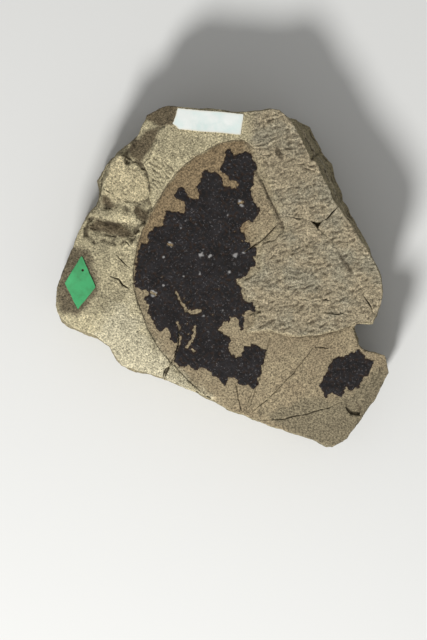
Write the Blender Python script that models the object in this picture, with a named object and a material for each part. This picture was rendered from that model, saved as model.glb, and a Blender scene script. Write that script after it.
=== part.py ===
"""A split slab of mudstone that bears the carbonised remains of a fig leaf.

Run it with: blender --background --python part.py

The slab lies on its flat foot, bedding planes level, +Z up. X runs along the
slab's width and Y along the leaf, from its base towards its tip. The origin is
the middle of the slab's footprint, at the height of the surface it rests on.
Outlines are in millimetres, as read on the specimen, and MM turns them into
Blender's metres.
"""

import math
from collections import namedtuple

import bmesh
import bpy
from mathutils import Vector, noise
from mathutils.bvhtree import BVHTree

MM = 0.001

# Heights, in millimetres above the surface that the slab rests on.
LEAF_PLANE = 24.0
MARGIN_STEP = 0.5
CUTTER_TOP = 40.0

# The bedding layer that still covers the right of the leaf thickens to the right.
COVER_STARTS_AT_X = 14.0
COVER_FULL_AT_X = 38.0
COVER_RISE = 1.5

# The south-west rim rolls down, as a weathered edge does.
ROLL_WIDTH = 9.0
ROLL_DROP = 1.6

# Thin pieces that lie on the stone.
FILM_THICKNESS = 0.35
PAPER_THICKNESS = 0.25
GAP_TO_STONE = 0.3
NEAR = 0.35

# How finely the faces are cut up before they are roughened.
TOP_CELL = 2.35
FILM_CELL = 3.0
LOWEST_BREAK = 16.5

# The slab's upper edge, clockwise from its top left corner: x, y, and how far
# the broken wall below stands out beyond that edge.
SLAB_EDGE = (
    (-19.6, 45.6, 1.0), (-17.4, 47.0, 1.1), (-15.0, 47.6, 1.2), (-12.2, 47.4, 1.3),
    (-8.6, 46.9, 1.5), (-4.0, 46.6, 1.9), (-0.6, 46.4, 1.9), (1.6, 46.0, 0.5),
    (4.5, 45.8, 0.3), (8.0, 45.9, 0.4), (11.6, 46.2, 0.5), (14.0, 46.7, 0.3),
    (16.4, 46.4, 0.4), (18.2, 44.9, 0.9), (19.6, 43.1, 3.2), (21.7, 40.4, 4.9),
    (23.9, 35.9, 5.0), (25.0, 33.4, 4.9), (25.1, 32.3, 4.9), (26.3, 32.1, 4.8),
    (27.5, 30.3, 5.0), (28.0, 28.5, 5.0), (29.4, 26.2, 4.3), (30.6, 23.6, 4.5),
    (31.3, 21.3, 4.5), (32.6, 19.7, 3.5), (33.9, 17.9, 3.4), (35.4, 15.9, 2.5),
    (37.4, 12.9, 2.6), (39.0, 10.0, 2.7), (41.0, 7.5, 1.8), (42.6, 4.5, 1.6),
    (43.9, 1.8, 1.7), (44.8, -1.0, 1.9), (45.3, -3.6, 1.6), (45.3, -6.0, 1.3),
    (44.6, -9.2, 0.8), (43.5, -11.6, 0.6), (42.5, -13.6, 0.2), (40.5, -13.8, 0.0),
    (38.3, -13.7, 0.2), (37.4, -14.6, 0.9), (37.9, -17.0, 1.3), (38.9, -19.9, 1.0),
    (40.6, -21.2, 0.4), (43.4, -22.2, 0.4), (45.8, -22.7, 0.6), (46.6, -23.8, 0.8),
    (46.8, -25.8, 0.9), (47.1, -27.6, 0.9), (46.0, -30.2, 0.8), (44.6, -32.6, 0.8),
    (42.6, -36.0, 0.7), (39.9, -39.8, 0.7), (37.8, -42.8, 0.7), (35.6, -45.9, 0.8),
    (33.8, -47.0, 0.8), (31.9, -48.2, 0.8), (30.4, -48.1, 0.9), (26.0, -46.3, 0.9),
    (20.0, -44.3, 0.9), (14.0, -42.5, 0.9), (10.0, -41.0, 0.9), (6.2, -39.2, 0.9),
    (2.0, -37.6, 0.9), (-1.0, -36.1, 0.9), (-4.5, -34.1, 0.9), (-8.0, -32.5, 0.9),
    (-12.0, -30.9, 0.9), (-15.6, -29.5, 0.8), (-17.0, -28.8, 0.9), (-20.0, -27.8, 0.9),
    (-24.0, -26.8, 0.9), (-28.2, -25.3, 1.0), (-29.2, -23.9, 1.0), (-30.4, -21.8, 1.0),
    (-31.4, -19.9, 1.0), (-32.6, -19.3, 0.9), (-35.2, -17.3, 1.1), (-38.0, -16.1, 1.2),
    (-41.0, -15.0, 1.3), (-43.3, -13.9, 1.4), (-44.9, -12.1, 1.5), (-46.0, -9.9, 1.4),
    (-46.5, -7.9, 1.3), (-46.4, -5.8, 1.2), (-45.9, -3.8, 1.2), (-44.9, -0.4, 1.2),
    (-43.7, 2.5, 1.1), (-42.7, 5.0, 1.1), (-41.7, 7.2, 1.1), (-41.0, 9.9, 1.0),
    (-40.2, 12.0, 1.0), (-39.2, 13.9, 1.1), (-37.7, 16.2, 1.2), (-36.6, 17.7, 1.2),
    (-35.0, 19.5, 1.4), (-34.0, 22.6, 1.5), (-33.6, 24.9, 1.8), (-33.2, 26.6, 2.8),
    (-32.4, 28.6, 2.2), (-31.6, 30.6, 1.9), (-30.2, 32.8, 1.6), (-28.4, 34.5, 1.2),
    (-27.0, 36.0, 1.0), (-25.3, 37.7, 1.0), (-23.4, 39.8, 1.0), (-21.4, 42.7, 1.0),
    (-20.5, 44.8, 1.0),
)

# The broken wall, from the foot up: height, the share of each point's stand-out
# that is reached there, and a set-back. Pairs of close levels are bedding ledges.
WALL_LEVELS = (
    (0.0, 0.20, -2.8), (1.4, 0.60, -1.2), (4.2, 0.90, -0.5), (8.0, 1.00, -0.3),
    (8.5, 0.93, -0.65), (12.0, 0.74, -0.3), (15.6, 0.52, -0.2), (16.1, 0.44, -0.5),
    (19.6, 0.27, -0.15), (22.4, 0.12, 0.0), (LEAF_PLANE + MARGIN_STEP, 0.0, 0.0),
)
WALL_WAVE = 0.4
WALL_WAVE_LENGTH = 9.0
WALL_CHIP = 0.35
WALL_CHIP_LENGTH = 3.2

# Layers and chips that have come away. Each is cut by a prism whose floor passes
# through the anchor at the given height and dips towards the given bearing, in
# degrees anticlockwise from +X.
Break = namedtuple("Break", "name outline anchor height bearing dip")
BREAKS = (
    Break(
        "leaf_plane",
        (
            (0.0, -52.0), (0.2, -37.0), (-2.5, -35.3), (-5.5, -33.0), (-9.0, -30.0),
            (-12.0, -27.2), (-14.6, -24.5), (-17.3, -21.3), (-19.4, -18.0),
            (-21.1, -14.4), (-22.3, -10.8), (-23.6, -7.2), (-24.7, -3.6),
            (-24.9, 0.0), (-24.4, 4.4), (-23.5, 8.8), (-22.2, 12.0), (-20.6, 15.6),
            (-18.9, 19.2), (-17.0, 22.6), (-14.9, 25.8), (-12.4, 29.0), (-9.8, 31.5),
            (-7.0, 33.5), (-4.0, 35.4), (-0.6, 37.0), (2.8, 38.0), (6.0, 38.2),
            (9.5, 35.6), (12.2, 31.6), (13.0, 28.0), (14.2, 24.0), (15.8, 19.2),
            (17.5, 15.0), (17.8, 12.2), (15.0, 9.8), (11.4, 8.4), (11.2, 5.4),
            (11.0, 2.0), (9.4, -0.4), (6.4, -2.0), (6.9, -5.0), (7.6, -6.8),
            (10.6, -7.2), (11.2, -10.6), (8.0, -11.6), (7.8, -15.8), (11.0, -16.6),
            (14.4, -15.7), (18.0, -17.2), (22.5, -17.4), (27.0, -16.9),
            (30.5, -16.2), (33.5, -15.4), (36.2, -14.2), (38.2, -13.2), (52.0, -13.2),
            (52.0, -52.0),
        ),
        (0.0, 0.0), LEAF_PLANE, 0.0, 0.0,
    ),
    Break(
        "north_west_shoulder",
        (
            (-13.4, 52.0), (-13.6, 44.0), (-14.6, 42.2), (-17.2, 41.0), (-18.0, 37.6),
            (-20.3, 32.8), (-22.0, 30.6), (-24.6, 31.9), (-28.0, 33.6), (-42.0, 40.0),
            (-32.0, 52.0),
        ),
        (-18.2, 37.8), LEAF_PLANE + 0.1, 152.0, 31.0,
    ),
    Break(
        "chip_plateau",
        (
            (-20.6, 29.0), (-21.8, 31.2), (-24.4, 32.8), (-27.8, 34.6), (-40.0, 39.0),
            (-40.0, 24.4), (-33.2, 24.5), (-31.2, 23.2), (-29.0, 21.5), (-26.2, 20.6),
            (-22.8, 20.7), (-20.6, 21.6), (-20.0, 23.8), (-20.3, 26.4),
        ),
        (-20.2, 25.0), LEAF_PLANE - 1.5, 188.0, 6.0,
    ),
    Break(
        "west_flank",
        (
            (-29.6, 35.0), (-31.2, 31.6), (-31.4, 28.8), (-32.6, 25.8), (-33.4, 22.6),
            (-35.0, 18.4), (-44.0, 18.0), (-42.0, 38.0),
        ),
        (-31.8, 27.5), LEAF_PLANE - 2.4, 158.0, 52.0,
    ),
    Break(
        "west_chip",
        (
            (-31.0, 24.8), (-29.4, 22.4), (-29.1, 19.6), (-30.6, 18.4), (-33.2, 18.6),
            (-36.6, 20.4), (-36.0, 25.0),
        ),
        (-31.8, 18.5), LEAF_PLANE + 0.2, 80.0, 18.0,
    ),
    Break(
        "east_chip",
        (
            (-19.6, 19.8), (-19.8, 15.6), (-21.2, 14.4), (-23.6, 16.0), (-24.4, 18.6),
            (-22.8, 20.3),
        ),
        (-21.6, 14.8), LEAF_PLANE + 0.3, 100.0, 20.0,
    ),
    Break(
        "lens_chip",
        (
            (-24.2, 11.2), (-25.0, 13.4), (-27.2, 14.9), (-30.0, 14.9), (-33.0, 15.7),
            (-36.0, 15.8), (-37.6, 14.4), (-36.6, 13.0), (-34.0, 12.0), (-31.4, 11.0),
            (-28.8, 10.4), (-26.0, 10.3),
        ),
        (-30.0, 10.6), LEAF_PLANE + 0.4, 82.0, 19.0,
    ),
    Break(
        "south_east_bevel",
        (
            (43.2, -20.0), (44.3, -24.0), (44.7, -27.2), (43.0, -31.0), (40.4, -35.0),
            (37.0, -39.6), (36.2, -41.0), (52.0, -46.0), (54.0, -20.0),
        ),
        (44.4, -26.0), LEAF_PLANE, -22.0, 36.0,
    ),
    Break(
        "south_east_chip",
        (
            (35.3, -35.5), (38.2, -35.7), (39.6, -37.6), (39.2, -39.7), (36.4, -39.3),
            (34.9, -37.4),
        ),
        (37.0, -35.5), LEAF_PLANE - 0.1, 275.0, 13.0,
    ),
    Break(
        "edge_split",
        (
            (-17.2, -33.0), (-16.6, -29.2), (-16.3, -27.2), (-15.7, -26.3),
            (-14.7, -25.6), (-13.6, -24.2), (-14.3, -26.0), (-15.3, -28.0),
            (-15.9, -29.4), (-15.6, -33.0),
        ),
        (-15.5, -27.0), LEAF_PLANE - 5.0, 0.0, 0.0,
    ),
    Break(
        "star_hole",
        ((25.0, 15.3), (27.1, 14.8), (28.8, 15.2), (27.8, 14.0), (27.4, 12.6), (26.5, 14.0)),
        (27.0, 14.2), LEAF_PLANE - 0.6, 0.0, 0.0,
    ),
)

# Cracks and veins, each a narrow slot that tapers to its ends: its path from end to
# end, its width, and the height of its floor.
CRACK_FLOOR = LEAF_PLANE - 0.7
FISSURE_FLOOR = LEAF_PLANE - 0.1
VEIN_FLOOR = LEAF_PLANE - 0.25
Slot = namedtuple("Slot", "name path width floor")
SLOTS = (
    Slot(
        "crack_from_split",
        ((-14.0, -25.2), (-13.2, -23.0), (-12.0, -20.0), (-11.8, -17.0), (-12.0, -13.0)),
        0.4, CRACK_FLOOR,
    ),
    Slot(
        "crack_past_film",
        ((6.5, 6.4), (9.0, 8.0), (11.0, 9.3), (13.0, 11.2), (15.0, 13.0), (16.8, 14.7)),
        0.36, CRACK_FLOOR,
    ),
    Slot("crack_to_rim", ((28.2, 14.7), (30.0, 16.0), (31.5, 17.8), (34.5, 20.6)), 0.4, CRACK_FLOOR),
    Slot("crack_down", ((27.4, 13.2), (28.8, 11.6), (30.5, 10.3)), 0.34, FISSURE_FLOOR),
    Slot("crack_west", ((23.6, 15.9), (21.6, 15.8), (19.5, 16.1)), 0.36, FISSURE_FLOOR),
    Slot(
        "crack_east",
        ((34.6, 5.3), (35.6, 2.8), (36.8, -0.2), (38.4, -3.0), (40.2, -6.0)),
        0.34, LEAF_PLANE + 0.9,
    ),
    Slot("crack_to_nose", ((39.8, -5.3), (41.4, -8.0), (43.9, -12.0)), 0.4, LEAF_PLANE),
    Slot("fissure_middle", ((22.0, -7.0), (23.6, -6.9), (25.3, -7.3)), 0.36, FISSURE_FLOOR),
    Slot("fissure_bow", ((28.0, -7.7), (29.5, -6.9), (31.4, -7.5)), 0.32, FISSURE_FLOOR),
    Slot(
        "fissure_right",
        ((26.0, -10.5), (30.0, -10.6), (31.0, -11.1), (33.0, -11.3), (35.0, -10.7)),
        0.36, FISSURE_FLOOR,
    ),
    Slot("fissure_below_step", ((26.0, -20.4), (28.5, -20.5), (30.5, -20.8)), 0.34, VEIN_FLOOR),
    Slot("gash_upper", ((-28.0, 10.0), (-26.8, 9.2), (-25.5, 8.0)), 0.42, LEAF_PLANE),
    Slot("gash_middle", ((-29.6, 5.9), (-28.0, 4.2), (-25.6, 2.2)), 0.46, LEAF_PLANE),
    Slot("gash_lower", ((-31.8, -0.2), (-28.8, -1.2), (-27.6, -2.8), (-25.5, -4.2)), 0.46, LEAF_PLANE),
    Slot("vein_left", ((5.9, -38.6), (4.9, -35.0), (4.6, -32.6), (4.0, -30.2)), 0.34, VEIN_FLOOR),
    Slot("vein_inner", ((7.2, -38.4), (8.2, -34.5), (9.3, -32.0)), 0.34, VEIN_FLOOR),
    Slot(
        "midrib",
        ((7.8, -39.4), (9.4, -33.4), (10.8, -29.6), (12.1, -24.5), (13.5, -18.5), (13.9, -17.2)),
        0.36, VEIN_FLOOR,
    ),
    Slot(
        "vein_middle",
        ((8.4, -39.2), (11.4, -36.2), (15.0, -33.3), (18.0, -30.2), (22.0, -25.5), (26.0, -20.3)),
        0.36, VEIN_FLOOR,
    ),
    Slot(
        "vein_right",
        ((11.0, -41.0), (18.0, -40.6), (21.0, -39.9), (25.0, -38.8), (30.0, -37.5), (36.0, -35.0)),
        0.34, VEIN_FLOOR,
    ),
    Slot(
        "vein_upper",
        ((10.4, 28.9), (13.0, 23.0), (14.2, 20.6), (15.5, 18.0), (16.8, 15.2)),
        0.36, VEIN_FLOOR,
    ),
)

# The carbon film of the leaf: its ragged edge, clockwise from the upper lobe.
LEAF_FILM_EDGE = (
    (1.0, 34.6), (1.8, 35.3), (2.7, 35.0), (3.5, 34.0), (5.8, 34.1), (6.6, 34.6),
    (7.8, 34.5), (8.6, 33.4), (9.4, 31.9), (10.4, 30.1), (9.3, 29.2), (9.4, 27.6),
    (8.9, 26.2), (9.4, 25.2), (8.6, 24.1), (8.7, 21.8), (9.6, 20.0), (10.6, 19.2),
    (10.9, 18.2), (10.4, 16.8), (9.6, 15.8), (8.8, 14.4), (7.8, 15.4), (6.6, 15.2),
    (6.2, 14.0), (5.2, 13.2), (5.8, 12.0), (6.6, 11.0), (7.3, 9.6), (8.2, 8.2),
    (9.6, 7.6), (10.2, 6.5), (9.8, 5.5), (9.0, 4.8), (10.0, 3.4), (9.4, 2.4),
    (8.4, 2.1), (8.1, 1.0), (7.0, -0.1), (5.4, -1.1), (4.3, -1.3), (4.5, -2.5),
    (5.4, -3.6), (6.0, -5.6), (5.7, -6.8), (7.2, -7.8), (8.8, -7.8), (9.1, -8.6),
    (9.9, -9.2), (9.8, -10.4), (8.2, -10.2), (6.6, -10.4), (6.3, -11.8), (6.6, -13.4),
    (6.3, -15.3), (5.4, -15.4), (4.9, -14.0), (5.0, -12.6), (4.0, -11.9), (2.8, -11.9),
    (2.1, -13.2), (0.5, -13.5), (-0.1, -14.6), (-0.9, -15.6), (0.4, -16.1),
    (1.1, -17.0), (2.1, -17.5), (2.6, -18.6), (2.3, -20.4), (2.8, -22.3), (4.1, -23.4),
    (5.6, -22.8), (6.3, -21.2), (6.6, -20.2), (8.1, -20.1), (8.6, -18.8), (9.1, -19.8),
    (10.4, -20.0), (11.4, -20.8), (12.8, -21.0), (12.3, -23.2), (11.5, -26.2),
    (10.8, -28.7), (10.3, -30.2), (10.4, -31.3), (9.5, -32.2), (8.6, -32.1),
    (7.8, -31.0), (5.8, -31.2), (4.7, -30.3), (3.8, -29.0), (2.0, -28.9),
    (1.7, -30.2), (1.1, -31.2), (0.2, -30.4), (-0.9, -29.1), (-2.1, -28.3),
    (-3.0, -27.3), (-4.0, -26.6), (-6.1, -26.4), (-7.2, -27.0), (-8.3, -26.1),
    (-9.2, -25.4), (-10.7, -26.0), (-11.9, -25.5), (-13.2, -24.7), (-13.0, -22.6),
    (-12.3, -20.6), (-12.1, -19.1), (-13.6, -18.9), (-14.3, -18.2), (-14.3, -16.6),
    (-15.0, -15.0), (-16.2, -15.4), (-17.4, -15.9), (-18.4, -15.0), (-18.9, -13.6),
    (-19.7, -12.4), (-19.9, -11.3), (-20.8, -10.7), (-20.2, -8.6), (-21.0, -7.9),
    (-21.7, -7.1), (-21.1, -6.0), (-20.2, -5.0), (-20.9, -4.2), (-22.5, -4.3),
    (-24.1, -3.4), (-24.3, -1.4), (-24.1, 1.2), (-23.8, 4.0), (-23.3, 6.6),
    (-22.5, 9.0), (-21.1, 8.9), (-20.0, 9.8), (-21.1, 11.0), (-20.3, 12.0),
    (-19.2, 12.4), (-18.6, 13.4), (-17.4, 13.8), (-16.4, 14.0), (-16.0, 15.8),
    (-15.8, 17.2), (-15.2, 18.1), (-13.8, 17.7), (-12.3, 17.8), (-10.6, 17.2),
    (-9.9, 18.2), (-10.1, 20.4), (-11.2, 21.1), (-12.8, 21.2), (-13.5, 22.2),
    (-12.7, 23.2), (-12.2, 24.5), (-11.4, 24.9), (-10.2, 24.2), (-9.5, 22.6),
    (-8.2, 21.3), (-6.5, 21.7), (-6.0, 23.0), (-6.9, 24.2), (-6.8, 25.6), (-5.8, 26.3),
    (-5.4, 28.2), (-4.5, 29.5), (-3.4, 28.8), (-1.2, 28.9), (-0.2, 27.9), (0.7, 26.6),
    (0.7, 25.2), (1.7, 24.4), (4.3, 24.3), (5.0, 25.2), (4.5, 26.4), (2.6, 26.6),
    (1.7, 27.9), (0.4, 28.9), (-0.5, 29.9), (0.4, 31.0), (1.2, 32.2),
)

# A second scrap of the same leaf, near the lower right corner.
LEAF_SCRAP_EDGE = (
    (38.3, -20.9), (38.8, -21.2), (39.8, -21.8), (40.3, -22.8), (40.7, -24.0),
    (42.9, -24.0), (43.1, -25.1), (42.2, -26.2), (41.7, -27.3), (41.6, -28.4),
    (40.3, -28.6), (39.6, -29.5), (39.7, -30.7), (38.9, -31.8), (37.8, -32.0),
    (36.9, -32.8), (35.3, -31.8), (34.7, -32.9), (34.2, -34.2), (33.1, -34.2),
    (31.3, -33.4), (30.4, -33.6), (29.9, -34.7), (29.1, -34.2), (28.8, -33.0),
    (27.8, -31.0), (28.5, -30.2), (28.6, -29.0), (29.3, -28.0), (30.2, -27.2),
    (30.3, -25.8), (30.9, -24.7), (31.7, -23.8), (33.0, -23.2), (34.0, -23.4),
    (34.9, -22.8), (36.2, -22.2), (37.3, -21.8),
)

# The museum's green paper diamond and white paper strip.
DIAMOND_EDGE = ((-39.2, 5.4), (-35.3, -3.5), (-40.3, -9.7), (-44.0, -2.3))
PAPER_STRIP_EDGE = (
    (-12.1, 46.9), (-6.0, 46.3), (0.0, 45.9), (6.4, 45.2), (5.5, 39.4), (0.0, 40.0),
    (-6.0, 40.4), (-12.2, 41.1), (-13.5, 42.6),
)

STONE_COLOUR = (0.30, 0.26, 0.18)
CARBON_COLOUR = (0.028, 0.025, 0.023)
GREEN_COLOUR = (0.07, 0.42, 0.16)
WHITE_COLOUR = (0.85, 0.88, 0.84)


def clear_scene():
    for obj in list(bpy.data.objects):
        bpy.data.objects.remove(obj)


def new_collection(name):
    collection = bpy.data.collections.new(name)
    bpy.context.scene.collection.children.link(collection)
    return collection


def new_material(name, colour, roughness):
    material = bpy.data.materials.new(name)
    material.use_nodes = True
    shader = material.node_tree.nodes["Principled BSDF"]
    shader.inputs["Base Color"].default_value = (*colour, 1.0)
    shader.inputs["Roughness"].default_value = roughness
    shader.inputs["Metallic"].default_value = 0.0
    return material


def new_object(name, bm, collection, material=None):
    mesh = bpy.data.meshes.new(name)
    bm.to_mesh(mesh)
    bm.free()
    obj = bpy.data.objects.new(name, mesh)
    if material:
        mesh.materials.append(material)
    collection.objects.link(obj)
    return obj


def smooth_step(value, start, end):
    share = min(1.0, max(0.0, (value - start) / (end - start)))
    return share * share * (3.0 - 2.0 * share)


def wave(x, y, z, length):
    """Smooth noise from -1 to 1 whose bumps are about length apart."""
    return noise.noise(Vector((x, y, z)) / length)


def outward_normals(points):
    """Unit normals of a clockwise outline, pointing out of the stone."""
    normals = []
    for i in range(len(points)):
        before, after = points[i - 1], points[(i + 1) % len(points)]
        along = Vector((after[0] - before[0], after[1] - before[1])).normalized()
        normals.append((-along.y, along.x))
    return normals


def slab_blank(bm):
    """The block before anything came away: a loft through the wall's levels."""
    normals = outward_normals(SLAB_EDGE)
    rings = []
    for height, share, set_back in WALL_LEVELS:
        ring = []
        for (x, y, stand_out), (nx, ny) in zip(SLAB_EDGE, normals):
            out = stand_out * share + set_back
            if share:
                out += WALL_WAVE * wave(x, y, height, WALL_WAVE_LENGTH)
                out += WALL_CHIP * wave(x, y, 2.0 * height, WALL_CHIP_LENGTH)
            ring.append(bm.verts.new(((x + nx * out) * MM, (y + ny * out) * MM, height * MM)))
        rings.append(ring)
    for lower, upper in zip(rings, rings[1:]):
        for i in range(len(lower)):
            j = (i + 1) % len(lower)
            bm.faces.new((lower[i], upper[i], upper[j], lower[j]))
    bm.faces.new(rings[0])
    bm.faces.new(rings[-1])
    bmesh.ops.recalc_face_normals(bm, faces=bm.faces)


def tapered_outline(path, width):
    """The outline of a slot along this path, with sharp ends."""
    points = [Vector(p) for p in path]
    left, right = [], []
    for before, here, after in zip(points, points[1:], points[2:]):
        along = (after - before).normalized()
        side = Vector((-along.y, along.x)) * width / 2
        left.append(tuple(here + side))
        right.append(tuple(here - side))
    return (path[0], *left, path[-1], *reversed(right))


def slot_break(slot):
    return Break(slot.name, tapered_outline(slot.path, slot.width), slot.path[0], slot.floor, 0.0, 0.0)


def break_cutter(gone, collection):
    """A prism over the outline of a lost chip or layer, with a dipping floor."""
    bearing = math.radians(gone.bearing)
    fall = math.tan(math.radians(gone.dip))
    bm = bmesh.new()
    floor = []
    for x, y in gone.outline:
        along = (x - gone.anchor[0]) * math.cos(bearing) + (y - gone.anchor[1]) * math.sin(bearing)
        floor.append(bm.verts.new((x * MM, y * MM, (gone.height - along * fall) * MM)))
    face = bm.faces.new(floor)
    raised = bmesh.ops.extrude_face_region(bm, geom=[face])["geom"]
    for element in raised:
        if isinstance(element, bmesh.types.BMVert):
            element.co.z = CUTTER_TOP * MM
    bmesh.ops.recalc_face_normals(bm, faces=bm.faces)
    cutter = new_object("cut_" + gone.name, bm, collection)
    cutter.hide_render = True
    cutter.display_type = "WIRE"
    return cutter


def break_away(slab, cutters):
    """Cuts the slab and bakes the result, so that its faces can be roughened."""
    for cutter in cutters:
        cut = slab.modifiers.new(cutter.name, "BOOLEAN")
        cut.operation = "DIFFERENCE"
        cut.solver = "EXACT"
        cut.object = cutter
    graph = bpy.context.evaluated_depsgraph_get()
    broken = bpy.data.meshes.new_from_object(slab.evaluated_get(graph))
    slab.modifiers.clear()
    slab.data = broken


def grid_cut(bm, faces, cell):
    """Cuts these faces along a square grid seen from above."""
    points = [v.co.copy() for f in faces for v in f.verts]
    for axis, normal in enumerate((Vector((1, 0, 0)), Vector((0, 1, 0)))):
        low = min(p[axis] for p in points)
        high = max(p[axis] for p in points)
        count = math.ceil((high - low) / (cell * MM))
        for step in range(1, count):
            at = low + (high - low) * step / count
            edges = {e for f in faces for e in f.edges}
            verts = {v for f in faces for v in f.verts}
            cut = bmesh.ops.bisect_plane(
                bm, geom=[*verts, *edges, *faces], dist=1e-6, plane_co=normal * at, plane_no=normal
            )
            faces = [f for f in cut["geom"] if isinstance(f, bmesh.types.BMFace)]


def distance_to_rim(x, y):
    """Distance in millimetres to the lower left stretch of the slab's edge."""
    rim = [Vector(p[:2]) for p in SLAB_EDGE[70:86]]
    here = Vector((x, y))
    nearest = ROLL_WIDTH
    for start, end in zip(rim, rim[1:]):
        along = end - start
        share = min(1.0, max(0.0, (here - start).dot(along) / along.length_squared))
        nearest = min(nearest, (here - start - along * share).length)
    return nearest


def weather(bm):
    """Swells the bedding planes, thickens the cover layer and roughens the broken faces."""
    for vert in bm.verts:
        x, y, z = vert.co / MM
        above_foot = smooth_step(z, 0.0, 4.0)
        on_top = smooth_step(z, LEAF_PLANE - 6.0, LEAF_PLANE - 3.0)
        on_cover = smooth_step(z, LEAF_PLANE + 0.1, LEAF_PLANE + 0.4)
        cover = on_cover * smooth_step(x, COVER_STARTS_AT_X, COVER_FULL_AT_X)
        lift = COVER_RISE * cover
        lift -= on_top * ROLL_DROP * (1.0 - distance_to_rim(x, y) / ROLL_WIDTH) ** 2
        lift += on_top * 0.35 * wave(x, y, 0.0, 21.0)
        rough = 0.35 * on_cover * smooth_step(x, 8.0, 18.0)
        lift += above_foot * (0.06 + rough) * wave(x + 2.0 * y, 3.0 * y, 0.0, 7.0)
        lift += rough * wave(x - y, 4.0 * y, 5.0, 3.5)
        lift += 0.3 * above_foot * (1.0 - on_top) * wave(x, y, z, 4.0)
        shift = 0.3 * above_foot * (1.0 - on_top)
        vert.co += MM * Vector((
            shift * wave(x, y, z, 5.0),
            shift * wave(x + 40.0, y, z, 5.0),
            lift,
        ))


def make_slab(collection, cutters_collection, material):
    bm = bmesh.new()
    slab_blank(bm)
    slab = new_object("mudstone_slab", bm, collection, material)
    breaks = (*BREAKS, *(slot_break(slot) for slot in SLOTS))
    break_away(slab, [break_cutter(gone, cutters_collection) for gone in breaks])
    bm = bmesh.new()
    bm.from_mesh(slab.data)
    lowest = LOWEST_BREAK * MM
    top = [f for f in bm.faces if f.normal.z > 0.5 and f.calc_center_median().z > lowest]
    grid_cut(bm, top, TOP_CELL)
    bmesh.ops.triangulate(bm, faces=bm.faces)
    weather(bm)
    bmesh.ops.dissolve_degenerate(bm, dist=0.01 * MM, edges=bm.edges)
    bm.to_mesh(slab.data)
    bm.free()
    slab.data.shade_smooth()
    slab.data.set_sharp_from_angle(angle=math.radians(28.0))
    return slab


def height_of_stone(stone, x, y):
    """The highest that the stone gets near this point, so that a slot counts as bridged."""
    around = [(x, y)]
    for step in range(6):
        angle = step * math.pi / 3
        around.append((x + NEAR * MM * math.cos(angle), y + NEAR * MM * math.sin(angle)))
    down = Vector((0, 0, -1))
    hits = [stone.ray_cast(Vector((*point, CUTTER_TOP * MM)), down)[0] for point in around]
    return max(hit.z for hit in hits if hit)


def lay_on_stone(name, edge, thickness, stone, collection, material):
    """A thin piece of this outline that follows the stone's surface, just clear of it."""
    bm = bmesh.new()
    face = bm.faces.new([bm.verts.new((x * MM, y * MM, 0.0)) for x, y in edge])
    grid_cut(bm, [face], FILM_CELL)
    bmesh.ops.triangulate(bm, faces=bm.faces)
    for vert in bm.verts:
        vert.co.z = height_of_stone(stone, vert.co.x, vert.co.y) + GAP_TO_STONE * MM
    raised = bmesh.ops.extrude_face_region(bm, geom=bm.faces[:])["geom"]
    for element in raised:
        if isinstance(element, bmesh.types.BMVert):
            element.co.z += thickness * MM
    bmesh.ops.recalc_face_normals(bm, faces=bm.faces)
    return new_object(name, bm, collection, material)


def main():
    clear_scene()
    specimen = new_collection("fossil_fig_leaf")
    cutters = new_collection("cutters")
    stone = new_material("mudstone", STONE_COLOUR, 0.9)
    carbon = new_material("carbon_film", CARBON_COLOUR, 0.6)
    green = new_material("green_paper", GREEN_COLOUR, 0.75)
    white = new_material("white_paper", WHITE_COLOUR, 0.8)

    slab = make_slab(specimen, cutters, stone)
    surface = bmesh.new()
    surface.from_mesh(slab.data)
    tree = BVHTree.FromBMesh(surface)
    surface.free()
    pieces = [slab]
    for name, edge, thickness, material in (
        ("leaf_carbon_film", LEAF_FILM_EDGE, FILM_THICKNESS, carbon),
        ("leaf_carbon_scrap", LEAF_SCRAP_EDGE, FILM_THICKNESS, carbon),
        ("green_paper_diamond", DIAMOND_EDGE, PAPER_THICKNESS, green),
        ("white_paper_strip", PAPER_STRIP_EDGE, PAPER_THICKNESS, white),
    ):
        pieces.append(lay_on_stone(name, edge, thickness, tree, specimen, material))

    footprint = bpy.data.objects.new("footprint_centre", None)
    specimen.objects.link(footprint)
    xs = [v.co.x for v in slab.data.vertices]
    ys = [v.co.y for v in slab.data.vertices]
    footprint.location = (-(min(xs) + max(xs)) / 2, -(min(ys) + max(ys)) / 2, 0.0)
    for piece in pieces:
        piece.parent = footprint


main()
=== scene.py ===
"""The looks of a fossil fig leaf: mudstone, coalified leaf film, gummed papers, floor and light."""

import math

import bmesh
import bpy
import numpy as np
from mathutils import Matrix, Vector, noise
from mathutils.bvhtree import BVHTree


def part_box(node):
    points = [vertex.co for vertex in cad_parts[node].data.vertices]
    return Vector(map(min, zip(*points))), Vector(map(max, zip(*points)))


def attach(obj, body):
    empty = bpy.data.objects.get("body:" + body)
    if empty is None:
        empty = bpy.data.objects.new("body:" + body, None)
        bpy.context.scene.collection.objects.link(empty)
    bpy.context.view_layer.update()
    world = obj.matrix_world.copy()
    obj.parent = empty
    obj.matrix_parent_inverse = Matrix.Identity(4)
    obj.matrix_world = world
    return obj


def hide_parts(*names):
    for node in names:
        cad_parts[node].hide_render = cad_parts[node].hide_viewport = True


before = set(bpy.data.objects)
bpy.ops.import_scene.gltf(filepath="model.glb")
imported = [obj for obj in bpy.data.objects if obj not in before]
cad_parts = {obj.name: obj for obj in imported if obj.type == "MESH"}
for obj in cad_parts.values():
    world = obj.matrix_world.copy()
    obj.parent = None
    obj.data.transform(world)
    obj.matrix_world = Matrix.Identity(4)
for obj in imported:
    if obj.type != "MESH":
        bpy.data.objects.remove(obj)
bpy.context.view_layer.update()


# The mudstone slab is one natural piece, split along the bedding plane that bears the
# leaf and broken off all round. It lies on the floor and carries the film and papers.
# It is the solid with smaller faces, pushed into the grain and ridges of broken stone.
MM = 0.001
LEAF_PLANE = 24.0

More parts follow.
